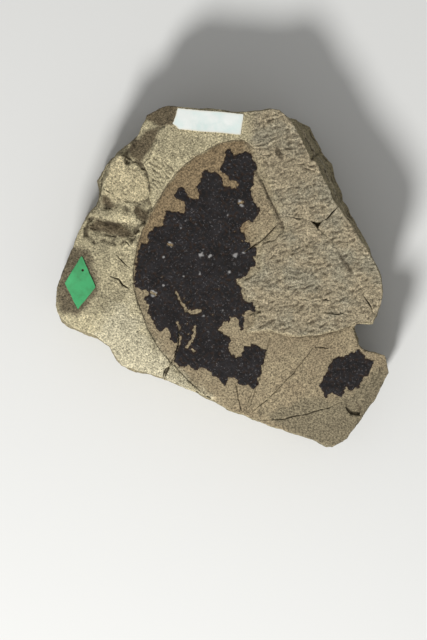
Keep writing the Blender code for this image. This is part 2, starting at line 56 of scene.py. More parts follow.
# Places on the slab are drawn in millimetres, in a frame in which the green diamond's
# left corner is at x = -44.0 and its top corner at y = 5.4.
DIAMOND_LEFT = -44.0
DIAMOND_TOP = 5.4
diamond_low, diamond_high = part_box("green_paper_diamond")
drawing_origin = np.array((diamond_low.x / MM - DIAMOND_LEFT, diamond_high.y / MM - DIAMOND_TOP))

# The leaf's impression, with its margin on the left, and the layer that covers its right.
LEAF_BED = (
    (-0.5, -37.0), (-5.5, -33.0), (-12.0, -27.2), (-17.3, -21.3), (-21.1, -14.4),
    (-24.7, -3.6), (-24.9, 0.0), (-23.5, 8.8), (-20.6, 15.6), (-17.0, 22.6),
    (-12.4, 29.0), (-7.0, 33.5), (-0.6, 37.0), (6.0, 38.2), (13.0, 34.0), (22.0, 22.0),
    (24.0, 12.0), (18.0, 0.0), (17.0, -12.0), (36.2, -13.0), (50.0, -18.0),
    (50.0, -44.0), (30.0, -52.0), (5.0, -44.0),
)
COVER_LAYER = (
    (18.0, 48.0), (9.0, 47.0), (8.5, 38.0), (13.0, 28.0), (15.8, 19.2), (17.8, 12.2),
    (11.4, 8.4), (11.0, 2.0), (6.4, -2.0), (7.6, -6.8), (11.2, -10.6), (7.8, -15.8),
    (14.4, -15.7), (22.5, -17.4), (30.5, -16.2), (36.2, -14.2), (50.0, -13.5), (50.0, 10.0),
)
# Ground that the film hides.
UNDER_FILM = (
    (-3.0, 25.0), (4.0, 22.0), (5.5, 17.0), (4.0, 9.0), (5.0, 3.0), (1.0, -3.0),
    (1.0, -9.0), (-4.0, -16.0), (-2.0, -25.0), (-8.0, -23.0), (-16.0, -10.0),
    (-20.0, 0.0), (-18.0, 7.0), (-12.0, 14.0),
)

# The longest edges that are left on each kind of surface.
TOP_EDGE = 0.60
COVER_EDGE = 0.52
UNDER_FILM_EDGE = 0.9
WALL_EDGE = 0.95
FOOT_EDGE = 2.6
COVER_BORDER = 1.0
LOWEST_TOP = 15.0
FOOT_TOP = 0.05
LEVEL_ENOUGH = 0.4
MOST_HALVINGS = 7
WELD = 0.001


def path_distance(points, path):
    """Distance in millimetres from each point to the nearest place on a path."""
    x, y = points[:, 0], points[:, 1]
    nearest = np.full(len(points), np.inf)
    for (ax, ay), (bx, by) in zip(path, path[1:]):
        dx, dy = bx - ax, by - ay
        share = np.clip(((x - ax) * dx + (y - ay) * dy) / (dx * dx + dy * dy), 0.0, 1.0)
        nearest = np.minimum(nearest, np.hypot(x - ax - share * dx, y - ay - share * dy))
    return nearest


def signed_distance(points, outline):
    """Distance in millimetres from each point to a closed outline, positive inside it."""
    x, y = points[:, 0], points[:, 1]
    closed = (*outline, outline[0])
    inside = np.zeros(len(points), bool)
    for (ax, ay), (bx, by) in zip(closed, closed[1:]):
        if ay != by:
            inside ^= ((ay > y) != (by > y)) & (x < ax + (y - ay) * (bx - ax) / (by - ay))
    nearest = path_distance(points, closed)
    return np.where(inside, nearest, -nearest)


def ease(values, start, end):
    """0 before start, 1 after end, and a smooth rise between them."""
    share = np.clip((values - start) / (end - start), 0.0, 1.0)
    return share * share * (3.0 - 2.0 * share)


def longest_edge(middles, ups):
    """How long an edge may be, from its middle and the upward part of its faces' normals."""
    places = middles[:, :2] - drawing_origin
    on_top = (ups > LEVEL_ENOUGH) & (middles[:, 2] > LOWEST_TOP)
    near_cover = signed_distance(places, COVER_LAYER) > -COVER_BORDER
    lengths = np.where(near_cover, COVER_EDGE, TOP_EDGE)
    lengths = np.where(signed_distance(places, UNDER_FILM) > 0.0, UNDER_FILM_EDGE, lengths)
    lengths = np.where(on_top, lengths, WALL_EDGE)
    return np.where((middles[:, 2] < FOOT_TOP) & (ups < LEVEL_ENOUGH), FOOT_EDGE, lengths)


def refine(bm):
    """Halves every edge that is too long for its place, and again until none is."""
    for _ in range(MOST_HALVINGS):
        middles = np.array([(edge.verts[0].co + edge.verts[1].co)[:] for edge in bm.edges]) / 2 / MM
        ups = np.array([max(face.normal.z for face in edge.link_faces) for edge in bm.edges])
        lengths = np.array([edge.calc_length() for edge in bm.edges]) / MM
        too_long = lengths > longest_edge(middles, ups)
        if not too_long.any():
            break
        chosen = [edge for edge, halve in zip(bm.edges, too_long) if halve]
        bmesh.ops.subdivide_edges(bm, edges=chosen, cuts=1)
        bmesh.ops.triangulate(bm, faces=[face for face in bm.faces if len(face.verts) > 3])
        bm.normal_update()


def vertex_values(mesh):
    """Positions in millimetres and unit normals of a mesh's points."""
    places = np.empty(len(mesh.vertices) * 3, np.float32)
    mesh.vertices.foreach_get("co", places)
    normals = np.empty(len(mesh.vertices) * 3, np.float32)
    mesh.vertices.foreach_get("normal", normals)
    return places.reshape(-1, 3).astype(float) / MM, normals.reshape(-1, 3).astype(float)


bm = bmesh.new()
bm.from_mesh(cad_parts["mudstone_slab"].data)
bmesh.ops.remove_doubles(bm, verts=bm.verts, dist=WELD * MM)
bm.normal_update()
refine(bm)
slab_mesh = bpy.data.meshes.new("mudstone")
bm.to_mesh(slab_mesh)
bm.free()
solid_places, solid_normals = vertex_values(slab_mesh)
drawn = solid_places[:, :2] - drawing_origin
height = solid_places[:, 2]
up = solid_normals[:, 2]


def flattened(places):
    """The same places with a height of 0."""
    return np.column_stack((places, np.zeros(len(places))))


def rumble(points, size, seed):
    """Smooth noise from -1 to 1. Its bumps are size across, which may differ by axis."""
    return np.array([noise.noise(place) for place in (points / size + seed).tolist()])


def layered(points, *layers):
    """Smooth noises added up, each given as its height, its bumps' size and its seed."""
    return sum(tall * rumble(points, size, seed) for tall, size, seed in layers)


def spread(mesh, values, times):
    """Averages values over each point's neighbours, a few times over."""
    KEPT = 0.4
    ends = np.empty(len(mesh.edges) * 2, np.int32)
    mesh.edges.foreach_get("vertices", ends)
    a, b = ends.reshape(-1, 2).T
    count = np.bincount(a, minlength=len(values)) + np.bincount(b, minlength=len(values))
    for _ in range(times):
        total = np.bincount(a, values[b], len(values)) + np.bincount(b, values[a], len(values))
        values = KEPT * values + (1.0 - KEPT) * total / count
    return values


# Each kind of surface as a mask from 0 to 1, with an edge that wanders. The broken
# ground west of the leaf counts as top, also where the solid is steep there.
WEST_FIELD = (
    (-34.6, 21.5), (-33.4, 28.5), (-31.2, 33.0), (-28.2, 34.6), (-26.0, 31.6), (-22.6, 30.6),
    (-20.6, 26.8), (-19.9, 23.6), (-19.6, 20.2), (-20.4, 16.6), (-22.6, 12.4), (-24.2, 9.6),
    (-30.0, 8.4), (-37.2, 9.6), (-39.2, 12.6), (-37.0, 16.6),
)
flat = flattened(drawn)
wander = rumble(flat, 3.0, 7.0)
west_inset = signed_distance(drawn, WEST_FIELD) + layered(flat, (0.8, 2.0, 2.0), (0.5, 0.9, 2.5))
west = ease(west_inset, -0.3, 0.5) * ease(height, 20.0, 21.0)
on_top = np.maximum(ease(up, 0.25, 0.6) * ease(height, 12.0, LOWEST_TOP), west)
on_wall = (1.0 - on_top) * ease(height, 0.0, 1.5)
on_foot = 1.0 - ease(height, 0.0, 0.4)

# The covering layer ends in a step in the south, and thins out in the north.
THINS_OUT = -10.0
IS_STEPPED = -13.0
cover_inset = signed_distance(drawn, COVER_LAYER)
stepped = ease(drawn[:, 1], THINS_OUT, IS_STEPPED)
cover = stepped * ease(cover_inset + 0.6 * wander, -0.5, 0.5)
cover += (1.0 - stepped) * ease(cover_inset + 1.6 * wander, -3.4, 1.8)
cover *= on_top
bed = ease(signed_distance(drawn, LEAF_BED) + 0.5 * wander, -0.5, 0.5) * on_top * (1.0 - cover)
rough = 1.0 - bed - cover

# The hackles of the covering layer: braided ridges that rise to the right.
HACKLE_TILT = math.radians(18.0)
HACKLE_HEIGHT = 0.42
HACKLE_CREST = 0.4
along = drawn @ (math.cos(HACKLE_TILT), math.sin(HACKLE_TILT)) + 0.9 * wander
across = drawn @ (-math.sin(HACKLE_TILT), math.cos(HACKLE_TILT)) + 0.9 * rumble(flat, 5.0, 3.0)
braid = flattened(np.column_stack((along, across)))
hackles = HACKLE_HEIGHT * (HACKLE_CREST - np.abs(rumble(braid, (3.6, 1.25, 1.0), 0.0)))
hackles += layered(braid, (0.30, (1.8, 0.75, 1.0), 5.0), (0.22, (8.0, 4.2, 1.0), 9.0))

# The ground west of the leaf: a flake has come off it down to a bright plateau, with a
# hollow and a ridge south of that. Its heights above the leaf plane follow the distance
# northwards from a line that falls to the east.
WEST_STEPS = (10.2, 11.2, 14.8, 16.4, 17.6, 20.2)
WEST_HEIGHTS = (0.0, -0.2, -1.3, -0.35, -0.5, -1.25)
WEST_FALL = 0.22
WEST_MIDDLE = -31.0
CHIP_HEIGHT = 0.45
PLATEAU = (
    (-33.0, 21.6), (-32.6, 26.4), (-31.0, 32.0), (-28.4, 33.4), (-26.6, 30.6), (-23.4, 29.4),
    (-21.2, 26.6), (-20.4, 22.8), (-22.6, 20.6), (-27.4, 20.8), (-31.0, 20.0),
)
north = drawn[:, 1] + WEST_FALL * (drawn[:, 0] - WEST_MIDDLE) + 0.7 * rumble(flat, 2.4, 4.0)
chips = CHIP_HEIGHT * rumble(flat, 2.3, 6.0) * ease(signed_distance(drawn, PLATEAU), 0.5, -0.5)
west_ground = LEAF_PLANE + np.interp(north, WEST_STEPS, WEST_HEIGHTS) + chips
ground_height = height + west * (west_ground - height)

# Edges of the solid that are drawn out into slopes.
SOFT_EDGES = (
    (
        (-25.0, -2.0), (-24.7, -6.0), (-21.1, -14.4), (-17.3, -21.3), (-12.0, -27.2),
        (-5.5, -33.0), (-0.5, -37.0),
    ),
    (
        (9.5, 35.6), (13.0, 28.0), (15.8, 19.2), (17.8, 12.2), (11.4, 8.4), (11.0, 2.0),
        (6.4, -2.0), (7.6, -6.8), (11.2, -10.6), (7.8, -15.8),
    ),
)
SLOPE_REACH = 2.6
SLOPE_CORE = 0.6
SOFTENING = 24
slopes = [ease(path_distance(drawn, path), SLOPE_REACH, SLOPE_CORE) for path in SOFT_EDGES]
softened = spread(slab_mesh, ground_height, SOFTENING) - ground_height
ground_height += np.max(slopes, axis=0) * on_top * softened

# Blade-like ridges between the plateau and the leaf, as a saw's teeth.
DIAGONAL_RIDGES = (
    (-21.6, 30.0), (-18.6, 33.4), (-14.6, 32.0), (-12.6, 29.4), (-15.6, 25.4),
    (-18.8, 21.4), (-20.2, 24.4),
)
BLADE_SPACING = 1.5
BLADE_CREST = 0.35
BLADE_HEIGHT = 0.75
BLADE_MIDDLE = 0.3
teeth = ((drawn[:, 0] + drawn[:, 1] + 1.4 * wander) / BLADE_SPACING) % 1.0
blades = BLADE_HEIGHT * (np.abs(teeth - BLADE_CREST) - BLADE_MIDDLE)
blades *= ease(signed_distance(drawn, DIAGONAL_RIDGES) + 0.6 * wander, -0.6, 0.6) * on_top

# The whole relief. The leaf's bed is smoother than the parting round it, and the walls
# have thin laminae, lumps and small scars.
ROUGH_GRAIN = 0.17
ROUGH_SWELL = 0.14
BED_GRAIN = 0.045
BED_SWELL = 0.06
LAMINAE = ((0.16, (26.0, 26.0, 1.1), 19.0), (0.08, (9.0, 9.0, 0.5), 23.0))
LUMPS = ((0.40, 5.5, 29.0), (0.16, 2.2, 31.0))
SCARS = ((0.10, 1.0, 37.0),)
grain = layered(flat, (0.6, 1.5, 11.0), (0.4, 0.8, 13.0))
swell = rumble(flat, 4.5, 17.0)
top_relief = cover * hackles + rough * (ROUGH_GRAIN * grain + ROUGH_SWELL * swell)
top_relief += bed * (BED_GRAIN * grain + BED_SWELL * swell) + blades
wall_relief = on_wall * layered(solid_places, *LAMINAE, *LUMPS, *SCARS)

# The underside has shallow hollows between the places that it rests on.
HOLLOW_DEPTH = 0.25
hollows = HOLLOW_DEPTH * (0.5 + 0.5 * rumble(solid_places, 6.0, 59.0))
foot_relief = on_foot * hollows * np.maximum(-up, 0.0)

# Every point moves: up by the relief of the top and foot, outwards by that of the walls,
# and a little sideways above the foot.
JITTER = ((0.26, 3.2), (0.12, 1.1))
outward = solid_normals[:, :2]
outward = outward / np.maximum(np.linalg.norm(outward, axis=1), 0.01)[:, None]
shift = np.column_stack((
    layered(solid_places, (*JITTER[0], 41.0), (*JITTER[1], 43.0)),
    layered(solid_places, (*JITTER[0], 47.0), (*JITTER[1], 53.0)),
    ground_height - height + on_top * top_relief + foot_relief,
))
shift[:, :2] = ease(height, 0.0, 1.0)[:, None] * shift[:, :2] + wall_relief[:, None] * outward
slab_mesh.vertices.foreach_set("co", ((solid_places + shift) * MM).astype(np.float32).ravel())
slab_mesh.update()
slab_places, slab_normals = vertex_values(slab_mesh)


def mark(mesh, name, values):
    """Stores one number from 0 to 1 for each point, which a material reads by name."""
    layer = mesh.attributes.new(name, "FLOAT", "POINT")
    layer.data.foreach_set("value", np.clip(values, 0.0, 1.0).astype(np.float32))


# How far each point stands out of the stone around it, from which the pits get painted shade.
NEIGHBOURHOOD = 14
RELIEF_RANGE = 0.5
around =[spread(slab_mesh, slab_places[:, axis], NEIGHBOURHOOD) for axis in range(3)]
stands_out = np.einsum("ij,ij->i", slab_places - np.column_stack(around), slab_normals)
mark(slab_mesh, "relief", 0.5 + stands_out / RELIEF_RANGE)
mark(slab_mesh, "bed", bed)
mark(slab_mesh, "cover", cover)
mark(slab_mesh, "wall", on_wall)
ruddy = ease(drawn[:, 1], -6.0, 10.0) * ease(drawn[:, 0] + 2.0 * wander, 11.0, 5.0)
mark(slab_mesh, "ruddy", ruddy)

# Grounds of another colour, some partly painted shade: brown facets, dark partly from shade painted in
# where they face away from the lamp, the darker south-east, partly painted shade on its east-facing
# bevel, the brown glue that spread round the diamond, and the part in the south-west that has
# bleached.
BROWN_AND_SHADED_GROUNDS = (
    (
        (-17.3, 41.8), (-17.6, 40.2), (-19.5, 36.5), (-20.5, 34.0), (-22.8, 32.0),
        (-25.8, 33.2), (-26.4, 35.4), (-24.6, 38.2), (-21.8, 39.8), (-19.6, 41.6),
    ),
    (
        (-23.0, 46.0), (-18.0, 50.0), (-12.0, 50.0), (-13.0, 42.5), (-17.0, 41.8), (-20.0, 43.0),
    ),
    (
        (-37.8, 13.5), (-34.7, 15.6), (-28.6, 14.8), (-25.0, 12.4), (-25.0, 10.7),
        (-28.0, 10.6), (-32.7, 12.0), (-36.7, 12.2),
    ),
    ((-33.4, 22.8), (-31.6, 22.4), (-30.0, 18.8), (-31.6, 18.6), (-33.6, 20.6)),
    ((-24.0, 19.4), (-20.8, 18.2), (-20.4, 15.2), (-22.4, 15.4), (-24.8, 17.6)),
)
# The south-east is greener, and darker partly as painted shade on its east-facing bevel.
DUSKY_SHADED_GROUND = (
    (12.0, -39.0), (23.0, -35.0), (33.0, -35.6), (39.0, -30.5), (44.0, -26.0), (49.0, -28.0),
    (36.0, -48.0), (31.0, -50.0), (20.0, -45.0),
)
GLUE_STAIN = (
    (-46.8, -8.0), (-45.8, 1.0), (-43.6, 7.0), (-40.2, 8.0), (-37.0, 6.4), (-35.6, 1.0),
    (-34.6, -4.0), (-37.0, -8.4), (-40.4, -11.6), (-44.6, -11.0),
)
PALE_GROUND = (
    (-34.5, -14.0), (-30.0, -9.0), (-26.0, -8.0), (-22.5, -14.0), (-17.5, -22.0),
    (-11.5, -28.5), (-4.0, -35.0), (-8.0, -45.0), (-38.0, -30.0),
)


def ground(outline, softness=0.7):
    """1 inside an outline and 0 outside it, with a soft and ragged edge."""
    edge = signed_distance(drawn, outline) + softness * (0.9 * wander + 0.6 * grain)
    return ease(edge, -softness, softness)


mark(slab_mesh, "brown", np.max([ground(outline) for outline in BROWN_AND_SHADED_GROUNDS], axis=0))
mark(slab_mesh, "glue", ground(GLUE_STAIN, 1.2))
mark(slab_mesh, "pale", ground(PALE_GROUND, 2.5))
mark(slab_mesh, "plateau", ground(PLATEAU, 0.5))
mark(slab_mesh, "dusky", ground(DUSKY_SHADED_GROUND, 1.5))

# Dark veins, pits and cracks, each as a path and its width. The veins' brown is their own; in the pits
# and cracks the dark is painted shade.
DARK_STREAKS = (
    (((9.6, 29.4), (12.6, 23.6), (15.6, 17.4), (17.6, 13.0)), 0.9),
    (((15.8, 35.2), (16.8, 33.2)), 1.6),
    (((12.0, 32.2), (13.4, 30.4)), 0.5),
    (((33.4, 5.2), (35.6, 2.4), (36.4, 0.4)), 1.0),
    (((-26.8, 34.6), (-25.0, 36.0), (-24.6, 38.4)), 1.3),
    (((-23.4, 20.1), (-23.0, 19.9)), 0.7),
    (((-27.4, 32.2), (-26.0, 30.3), (-24.0, 29.3)), 0.3),
    (((-20.5, 25.6), (-20.0, 23.8)), 0.4),
    (((-12.0, -13.0), (-11.0, -11.8), (-8.8, -8.8), (-5.0, -1.0), (-1.4, 3.2)), 0.5),
    (((-14.0, -25.2), (-12.0, -20.0), (-11.8, -17.0), (-12.0, -13.0)), 0.4),
    (((5.4, 5.4), (7.0, 6.8), (9.0, 8.0), (13.6, 11.0)), 0.25),
)
STREAK_OUTER = 0.35
STREAK_INNER = 0.3
streaks = [
    ease(
        path_distance(drawn, path) + 0.3 * grain,
        0.5 * width + STREAK_OUTER, 0.5 * width - STREAK_INNER,
    )
    for path, width in DARK_STREAKS
]
mark(slab_mesh, "streak", np.max(streaks, axis=0))


def feed(tree, target, **inputs):
    """Sets or links a node's inputs, named as Blender names them with _ for each space."""
    for name, value in inputs.items():
        socket = target.inputs[name.replace("_", " ")]
        if isinstance(value, bpy.types.NodeSocket):
            tree.links.new(value, socket)
        else:
            socket.default_value = value
    return target


def add(tree, kind, **inputs):
    """Adds a node, which may be one of the groups below, and feeds it."""
    if isinstance(kind, str):
        return feed(tree, tree.nodes.new(kind), **inputs)
    holder = tree.nodes.new("ShaderNodeGroup")
    holder.node_tree = kind
    return feed(tree, holder, **inputs)


def new_group(name, numbers, result, result_kind):
    """A node group that takes a place and some numbers, its inner side, and its way out."""
    group = bpy.data.node_groups.new(name, "ShaderNodeTree")
    group.interface.new_socket("Vector", in_out="INPUT", socket_type="NodeSocketVector")
    for number in numbers:
        group.interface.new_socket(number, in_out="INPUT", socket_type="NodeSocketFloat")
    group.interface.new_socket(result, in_out="OUTPUT", socket_type=result_kind)
    return group, group.nodes.new("NodeGroupInput").outputs, group.nodes.new("NodeGroupOutput")


def add_fractal(group, given):
    """Fractal noise from 0 to 1 inside a group, with features Size across."""
    scale = group.nodes.new("ShaderNodeMath")
    scale.operation = "DIVIDE"
    scale.inputs[0].default_value = 1.0
    group.links.new(given["Size"], scale.inputs[1])
    inputs = {name: given[name] for name in ("Vector", "Detail", "Roughness")}
    return add(group, "ShaderNodeTexNoise", Scale=scale.outputs[0], **inputs).outputs["Fac"]


# Mottling: a mask of fractal noise, stretched between two values.
STRETCH = ("From Min", "From Max", "To Min", "To Max")
mottling, given, result = new_group(
    "mottling", ("Size", "Detail", "Roughness", *STRETCH), "Value", "NodeSocketFloat"
)
stretched = add(mottling, "ShaderNodeMapRange", Value=add_fractal(mottling, given))
for name in STRETCH:
    mottling.links.new(given[name], stretched.inputs[name])
mottling.links.new(stretched.outputs["Result"], result.inputs["Value"])

# Fine grain: small bumps, which turn the normal.
fine_grain, given, result = new_group(
    "fine_grain", ("Size", "Detail", "Roughness", "Strength", "Distance"), "Normal", "NodeSocketVector"
)
bumps = add(
    fine_grain, "ShaderNodeBump",
    Strength=given["Strength"], Distance=given["Distance"], Height=add_fractal(fine_grain, given),
)
fine_grain.links.new(bumps.outputs["Normal"], result.inputs["Normal"])


def mottled(size, from_values, to_values=(0.0, 1.0), detail=4.0, roughness=0.6):
    """Mottling of the material in hand, with features size millimetres across."""
    stretch = dict(zip(STRETCH, (*from_values, *to_values)))
    stretch = {name.replace(" ", "_"): value for name, value in stretch.items()}
    inputs = {"Vector": where, "Size": size, "Detail": detail, "Roughness": roughness}
    return add(tree, mottling, **inputs, **stretch).outputs["Value"]


def grained(size, depth, strength, roughness=0.7):
    """The normal of the material in hand, with bumps depth millimetres deep."""
    inputs = {"Vector": where, "Size": size, "Detail": 4.0, "Roughness": roughness}
    bumpy = add(tree, fine_grain, **inputs, Strength=strength, Distance=depth * MM)
    return bumpy.outputs["Normal"]


def marked(name, to_values=(0.0, 1.0), from_values=(0.0, 1.0)):
    """The numbers that mark() stored, stretched between two values."""
    found = tree.nodes.new("ShaderNodeAttribute")
    found.attribute_name = name
    stretch = {
        "From_Min": from_values[0], "From_Max": from_values[1],
        "To_Min": to_values[0], "To_Max": to_values[1],
    }
    return add(tree, "ShaderNodeMapRange", Value=found.outputs["Fac"], **stretch).outputs["Result"]


def blend(share, first, second, way="MIX"):
    """Mixes two colours by a share."""
    mix = tree.nodes.new("ShaderNodeMix")
    mix.data_type = "RGBA"
    mix.blend_type = way
    sockets = [socket for socket in mix.inputs if socket.enabled]
    for socket, value in zip(sockets, (share, first, second)):
        if isinstance(value, bpy.types.NodeSocket):
            tree.links.new(value, socket)
        else:
            socket.default_value = value
    return next(socket for socket in mix.outputs if socket.enabled)


def shaded(base, factor):
    """A colour multiplied by a number."""
    grey = add(tree, "ShaderNodeCombineColor", Red=factor, Green=factor, Blue=factor)
    return blend(1.0, base, grey.outputs["Color"], "MULTIPLY")


def colour(red, green, blue):
    return (red, green, blue, 1.0)


def new_material(name):
    """A material, its node tree, its shader and its own coordinates in millimetres."""
    made = bpy.data.materials.new(name)
    made.use_nodes = True
    own = made.node_tree.nodes.new("ShaderNodeTexCoord")
    scaled = made.node_tree.nodes.new("ShaderNodeVectorMath")
    scaled.operation = "SCALE"
    feed(made.node_tree, scaled, Vector=own.outputs["Object"], Scale=1.0 / MM)
    shader = made.node_tree.nodes["Principled BSDF"]
    return made, made.node_tree, shader, scaled.outputs["Vector"]


CREAM = colour(0.60, 0.525, 0.33)
CREAM_DULL = colour(0.40, 0.35, 0.222)
BUFF = colour(0.405, 0.338, 0.222)
BUFF_GREY = colour(0.365, 0.325, 0.228)
BED_BUFF = colour(0.325, 0.265, 0.165)
BED_BUFF_DULL = colour(0.275, 0.218, 0.135)
BED_TAN = colour(0.235, 0.172, 0.096)
BLEACHED = colour(0.60, 0.54, 0.37)
PLATEAU_CREAM = colour(0.60, 0.515, 0.32)
SHADED_WALL_OLIVE = colour(0.29, 0.248, 0.15)
DUSKY_OLIVE_SHADE = colour(0.18, 0.155, 0.10)
BROWN_AND_SHADE = colour(0.175, 0.138, 0.083)
GLUE_BROWN = colour(0.165, 0.135, 0.085)
VEIN_BROWN_AND_CRACK_SHADE = colour(0.07, 0.052, 0.032)
PIT_SHADE = colour(0.05, 0.036, 0.022)
stone, tree, shader, where = new_material("mudstone")
base = blend(mottled(7.0, (0.38, 0.62)), CREAM, CREAM_DULL)
base = blend(marked("cover"), base, blend(mottled(9.0, (0.45, 0.62)), BUFF, BUFF_GREY))
bed_colour = blend(mottled(8.0, (0.38, 0.62)), BED_BUFF, BED_BUFF_DULL)
base = blend(marked("bed"), base, blend(marked("ruddy"), bed_colour, BED_TAN))
base = blend(marked("pale"), base, BLEACHED)
base = blend(marked("plateau"), base, PLATEAU_CREAM)
# Painted shade on the walls: their olive is partly the stone's own colour and partly shade painted in,
# darker than the top.
base = blend(marked("wall"), base, SHADED_WALL_OLIVE)
# Painted shade in part: the south-east gets a greener olive, darkened as painted shade.
base = blend(marked("dusky", (0.0, 0.7)), base, DUSKY_OLIVE_SHADE)
# Painted shade in part: the brown facets are darkened both by their own brown and by shade painted in.
base = blend(marked("brown"), base, BROWN_AND_SHADE)
base = blend(marked("glue"), base, GLUE_BROWN)
# The veins' own brown, and painted shade in the pits and cracks.
base = blend(marked("streak", (0.0, 0.7)), base, VEIN_BROWN_AND_CRACK_SHADE)
base = shaded(base, mottled(1.6, (0.3, 0.7), (0.72, 1.22), 6.0, 0.7))
base = shaded(base, mottled(0.5, (0.36, 0.64), (0.3, 1.7), 3.0, 0.85))
# Painted shade in the pits: wherever the stone lies below the stone around it, it is darkened towards
# near black.
base = blend(marked("relief", (0.75, 0.0), (0.1, 0.5)), base, PIT_SHADE)
feed(
    tree, shader, Base_Color=base, Roughness=0.92, Specular_IOR_Level=0.25,
    Normal=grained(0.75, 0.7, marked("bed", (1.0, 0.45)), 0.8),
)
slab_mesh.materials.append(stone)
slab_mesh.shade_smooth()
slab = bpy.data.objects.new("mudstone", slab_mesh)
bpy.context.scene.collection.objects.link(slab)
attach(slab, "root")
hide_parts("mudstone_slab")


# The leaf film is the coalified tissue of the leaf, a brittle black skin a few tenths
# of a millimetre thick that clings to the impression. It has flaked away along a
# ragged edge and in small spots, and cracks of the stone run on through it.
FILM_STEP = 0.24
FILM_EDGE = (
    (1.0, 34.6), (1.8, 35.3), (2.7, 35.0), (3.5, 34.0), (5.8, 34.1), (6.6, 34.6),
    (7.8, 34.5), (8.6, 33.4), (9.4, 31.9), (10.4, 30.1), (9.3, 29.2), (9.4, 27.6),
    (8.9, 26.2), (9.4, 25.2), (8.6, 24.1), (8.7, 21.8), (9.6, 20.0), (10.6, 19.2),
    (10.9, 18.2), (10.4, 16.8), (9.6, 15.8), (8.8, 14.4), (7.8, 15.4), (6.6, 15.2),
    (6.2, 14.0), (5.2, 13.2), (5.8, 12.0), (6.6, 11.0), (7.3, 9.6), (8.2, 8.2),
    (9.6, 7.6), (10.2, 6.5), (9.8, 5.5), (9.0, 4.8), (10.0, 3.4), (9.4, 2.4),
    (8.4, 2.1), (8.1, 1.0), (7.0, -0.1), (5.4, -1.1), (4.3, -1.3), (4.5, -2.5),
    (5.4, -3.6), (6.0, -5.6), (5.7, -6.8), (7.2, -7.8), (8.8, -7.8), (9.1, -8.6),
    (9.9, -9.2), (9.8, -10.4), (8.2, -10.2), (6.6, -10.4), (6.3, -11.8), (6.6, -13.4),
    (6.3, -15.3), (5.4, -15.4), (4.9, -14.0), (5.0, -12.6), (4.0, -11.9), (2.8, -11.9),
    (2.1, -13.2), (0.5, -13.5), (-0.1, -14.6), (-0.9, -15.6), (0.4, -16.1),
    (1.1, -17.0), (2.1, -17.5), (2.6, -18.6), (2.3, -20.4), (2.8, -22.3), (4.1, -23.4),
    (5.6, -22.8), (6.3, -21.2), (6.6, -20.2), (8.1, -20.1), (8.6, -18.8), (9.1, -19.8),
    (10.4, -20.0), (11.4, -20.8), (12.8, -21.0), (12.3, -23.2), (11.5, -26.2),
    (10.8, -28.7), (10.3, -30.2), (10.4, -31.3), (9.5, -32.2), (8.6, -32.1),
    (7.8, -31.0), (5.8, -31.2), (4.7, -30.3), (3.8, -29.0), (2.0, -28.9),
    (1.7, -30.2), (1.1, -31.2), (0.2, -30.4), (-0.9, -29.1), (-2.1, -28.3),
    (-3.0, -27.3), (-4.0, -26.6), (-6.1, -26.4), (-7.2, -27.0), (-8.3, -26.1),
    (-9.2, -25.4), (-10.7, -26.0), (-11.9, -25.5), (-13.2, -24.7), (-13.0, -22.6),
    (-12.3, -20.6), (-12.1, -19.1), (-13.6, -18.9), (-14.3, -18.2), (-14.3, -16.6),
    (-15.0, -15.0), (-16.2, -15.4), (-17.4, -15.9), (-18.4, -15.0), (-18.9, -13.6),
    (-19.7, -12.4), (-19.9, -11.3), (-20.8, -10.7), (-20.2, -8.6), (-21.0, -7.9),
    (-21.7, -7.1), (-21.1, -6.0), (-20.2, -5.0), (-20.9, -4.2), (-22.5, -4.3),
    (-24.1, -3.4), (-24.3, -1.4), (-24.1, 1.2), (-23.8, 4.0), (-23.3, 6.6),
    (-22.5, 9.0), (-21.1, 8.9), (-20.0, 9.8), (-21.1, 11.0), (-20.3, 12.0),
    (-19.2, 12.4), (-18.6, 13.4), (-17.4, 13.8), (-16.4, 14.0), (-16.0, 15.8),
    (-15.8, 17.2), (-15.2, 18.1), (-13.8, 17.7), (-12.3, 17.8), (-10.6, 17.2),
    (-9.9, 18.2), (-10.1, 20.4), (-11.2, 21.1), (-12.8, 21.2), (-13.5, 22.2),
    (-12.7, 23.2), (-12.2, 24.5), (-11.4, 24.9), (-10.2, 24.2), (-9.5, 22.6),
    (-8.2, 21.3), (-6.5, 21.7), (-6.0, 23.0), (-6.9, 24.2), (-6.8, 25.6), (-5.8, 26.3),
    (-5.4, 28.2), (-4.5, 29.5), (-3.4, 28.8), (-1.2, 28.9), (-0.2, 27.9), (0.7, 26.6),
    (0.7, 25.2), (1.7, 24.4), (4.3, 24.3), (5.0, 25.2), (4.5, 26.4), (2.6, 26.6),
    (1.7, 27.9), (0.4, 28.9), (-0.5, 29.9), (0.4, 31.0), (1.2, 32.2),
)
SCRAP_EDGE = (
    (38.3, -20.9), (38.8, -21.2), (39.8, -21.8), (40.3, -22.8), (40.7, -24.0),
    (42.9, -24.0), (43.1, -25.1), (42.2, -26.2), (41.7, -27.3), (41.6, -28.4),
    (40.3, -28.6), (39.6, -29.5), (39.7, -30.7), (38.9, -31.8), (37.8, -32.0),
    (36.9, -32.8), (35.3, -31.8), (34.7, -32.9), (34.2, -34.2), (33.1, -34.2),
    (31.3, -33.4), (30.4, -33.6), (29.9, -34.7), (29.1, -34.2), (28.8, -33.0),
    (27.8, -31.0), (28.5, -30.2), (28.6, -29.0), (29.3, -28.0), (30.2, -27.2),
    (30.3, -25.8), (30.9, -24.7), (31.7, -23.8), (33.0, -23.2), (34.0, -23.4),
    (34.9, -22.8), (36.2, -22.2), (37.3, -21.8),
)
